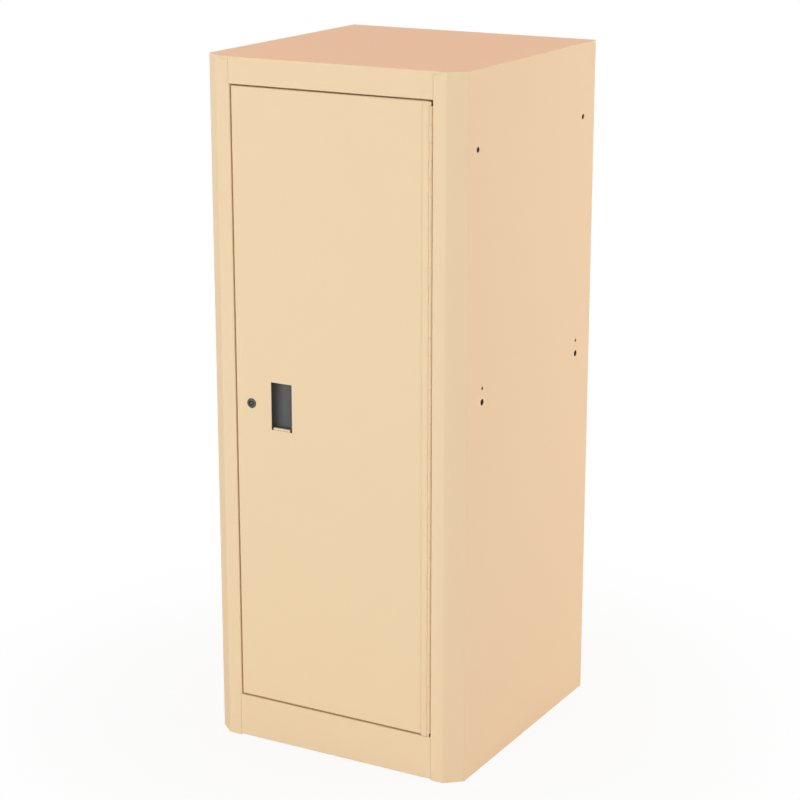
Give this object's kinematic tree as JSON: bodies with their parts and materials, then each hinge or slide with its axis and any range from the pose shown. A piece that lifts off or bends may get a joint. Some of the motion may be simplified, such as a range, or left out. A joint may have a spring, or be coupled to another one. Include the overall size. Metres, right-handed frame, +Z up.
{
  "type": "tool chest side locker",
  "caption": "Tall sheet-steel side locker with one full-height door on a piano hinge, a recessed pull, a tubular lock and adjustable shelves.",
  "frame": {"origin": "on the floor under the middle of the cabinet", "axes": "+X to the right seen from the front, +Y to the back, +Z up"},
  "size_m": [0.44, 0.4516, 1.09],
  "materials": {
    "body_paint": "satin sand-coloured powder coat",
    "shelf_paint": "satin sand-coloured powder coat",
    "dark_plastic": "fine-grained dark grey moulding",
    "bumper_rubber": "matt black rubber",
    "lock_metal": "dull plated zinc die casting",
    "zinc_steel": "zinc-plated steel",
    "magnet_steel": "dark magnet between steel pole plates"
  },
  "bodies": {
    "cabinet": {"back_panel": "body_paint", "catch_housings": "dark_plastic", "catch_magnets": "magnet_steel", "door_bumpers": "bumper_rubber", "floor_panel": "body_paint", "hinge_frame_leaf": "body_paint", "hinge_pin": "zinc_steel", "left_front_shelf_standard": "zinc_steel", "left_rear_shelf_standard": "zinc_steel", "left_side_panel": "body_paint", "lower_shelf": "shelf_paint", "lower_shelf_clips": "zinc_steel", "middle_shelf": "shelf_paint", "middle_shelf_clips": "zinc_steel", "right_front_shelf_standard": "zinc_steel", "right_rear_shelf_standard": "zinc_steel", "right_side_panel": "body_paint", "top_panel": "body_paint", "upper_shelf": "shelf_paint", "upper_shelf_clips": "zinc_steel"},
    "door": {"door_skin": "body_paint", "door_liner": "body_paint", "door_stiffener": "body_paint", "pull_cup": "dark_plastic", "lock_barrel": "lock_metal", "lock_nut": "zinc_steel", "hinge_door_leaf": "body_paint", "catch_strikes": "zinc_steel"},
    "lock": {"lock_plug": "lock_metal", "lock_cam": "zinc_steel", "cam_screw": "zinc_steel"}
  },
  "joints": [
    {"name": "door_hinge", "type": "hinge", "parent": "cabinet", "child": "door", "pos_m": [0.1692, -0.2238, 0.56], "axis": [0, 0, 1], "range_deg": [0, 115]},
    {"name": "lock_turn", "type": "hinge", "parent": "door", "child": "lock", "pos_m": [-0.1416, -0.2, 0.5604], "axis": [0, 1, 0], "range_deg": [0, 90]}
  ]
}
